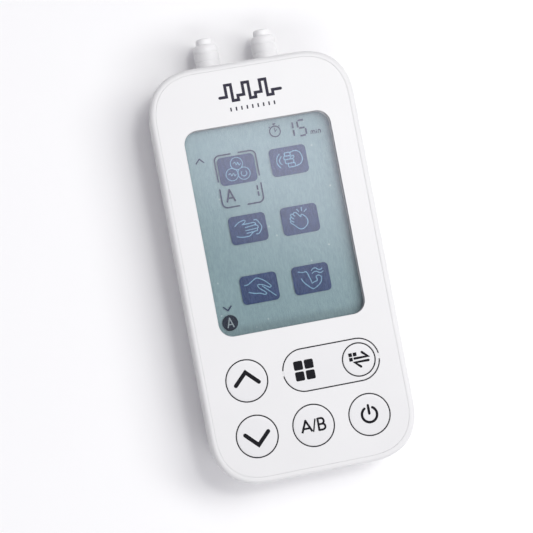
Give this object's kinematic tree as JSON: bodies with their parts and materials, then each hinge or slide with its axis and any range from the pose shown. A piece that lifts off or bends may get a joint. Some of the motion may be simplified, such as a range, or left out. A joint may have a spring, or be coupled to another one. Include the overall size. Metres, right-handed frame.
{
  "type": "tens unit",
  "caption": "Hand-held nerve stimulator with a recessed display window, sprung round and pill-shaped keys, lead plugs in the top wall and a sliding battery cover.",
  "frame": {"origin": "middle of the flat back, which the unit rests on", "axes": "+X to the right of the face, +Y to the end with the lead plugs, +Z out of the face"},
  "size_m": [0.06, 0.1299, 0.02],
  "materials": {
    "front_shell": "white moulded ABS, fine satin grain",
    "face_panel": "white satin inset panel",
    "rear_shell": "white moulded ABS, matte grain",
    "battery_door": "white moulded ABS, matte grain",
    "display_window": "clear polished acrylic",
    "lcd_glass": "blue-grey reflective liquid crystal display with navy segments",
    "lcd_reflector": "satin foil",
    "lcd_connector": "grey and black layered elastomer",
    "lcd_frame": "light grey moulded plastic",
    "key": "white satin with dark printed symbols",
    "switch_body": "black moulded plastic",
    "switch_stem": "ivory moulded plastic",
    "main_board": "green solder mask on glass-fibre board",
    "controller_chip": "black moulded epoxy",
    "buzzer": "black moulded plastic",
    "reservoir_capacitor": "sleeved aluminium can",
    "boost_inductor": "dark ferrite drum",
    "transformer_core": "dark sintered ferrite",
    "transformer_winding": "wound copper wire under amber tape",
    "output_socket": "black moulded plastic",
    "plug_boot": "white moulded vinyl",
    "plug_pin": "nickel-plated brass",
    "battery": "printed metallised sleeve on a steel can",
    "contact": "nickel-plated spring steel",
    "case_screw": "zinc-plated steel"
  },
  "bodies": {
    "casing": {"front_shell": "front_shell", "face_panel": "face_panel", "rear_shell": "rear_shell", "display_window": "display_window", "lcd_glass": "lcd_glass", "lcd_reflector": "lcd_reflector", "lcd_connector": "lcd_connector", "lcd_frame": "lcd_frame", "main_board": "main_board", "controller_chip": "controller_chip", "buzzer": "buzzer", "reservoir_capacitor": "reservoir_capacitor", "boost_inductor": "boost_inductor", "switch_up": "switch_body", "switch_down": "switch_body", "switch_channel": "switch_body", "switch_power": "switch_body", "switch_swap": "switch_body", "switch_mode": "switch_body", "transformer_core_left": "transformer_core", "transformer_winding_left": "transformer_winding", "output_socket_left": "output_socket", "transformer_core_right": "transformer_core", "transformer_winding_right": "transformer_winding", "output_socket_right": "output_socket", "battery_left": "battery", "battery_middle": "battery", "battery_right": "battery", "contact_positive": "contact", "contact_link_upper": "contact", "contact_link_lower": "contact", "contact_negative": "contact", "case_screw_1": "case_screw", "case_screw_2": "case_screw", "case_screw_3": "case_screw", "case_screw_4": "case_screw"},
    "up key": {"key_up": "key", "switch_stem_up": "switch_stem"},
    "down key": {"key_down": "key", "switch_stem_down": "switch_stem"},
    "channel key": {"key_channel": "key", "switch_stem_channel": "switch_stem"},
    "power key": {"key_power": "key", "switch_stem_power": "switch_stem"},
    "swap key": {"key_swap": "key", "switch_stem_swap": "switch_stem"},
    "mode key": {"key_mode": "key", "switch_stem_mode": "switch_stem"},
    "left plug": {"plug_boot_left": "plug_boot", "plug_pin_left": "plug_pin"},
    "right plug": {"plug_boot_right": "plug_boot", "plug_pin_right": "plug_pin"},
    "battery cover": {"battery_door": "battery_door"}
  },
  "joints": [
    {"name": "up key press", "type": "slide", "parent": "casing", "child": "up key", "axis": [0, 0, -1], "range_m": [0, 0.00035], "stiffness_N_per_m": 800},
    {"name": "down key press", "type": "slide", "parent": "casing", "child": "down key", "axis": [0, 0, -1], "range_m": [0, 0.00035], "stiffness_N_per_m": 800},
    {"name": "channel key press", "type": "slide", "parent": "casing", "child": "channel key", "axis": [0, 0, -1], "range_m": [0, 0.00035], "stiffness_N_per_m": 800},
    {"name": "power key press", "type": "slide", "parent": "casing", "child": "power key", "axis": [0, 0, -1], "range_m": [0, 0.00035], "stiffness_N_per_m": 800},
    {"name": "swap key press", "type": "slide", "parent": "casing", "child": "swap key", "axis": [0, 0, -1], "range_m": [0, 0.00035], "stiffness_N_per_m": 800},
    {"name": "mode key press", "type": "slide", "parent": "casing", "child": "mode key", "axis": [0, 0, -1], "range_m": [0, 0.00035], "stiffness_N_per_m": 800},
    {"name": "left plug pull", "type": "slide", "parent": "casing", "child": "left plug", "axis": [0, 1, 0], "range_m": [0, 0.0145]},
    {"name": "right plug pull", "type": "slide", "parent": "casing", "child": "right plug", "axis": [0, 1, 0], "range_m": [0, 0.0145]},
    {"name": "battery cover slide", "type": "slide", "parent": "casing", "child": "battery cover", "axis": [0, -1, 0], "range_m": [0, 0.054]}
  ]
}
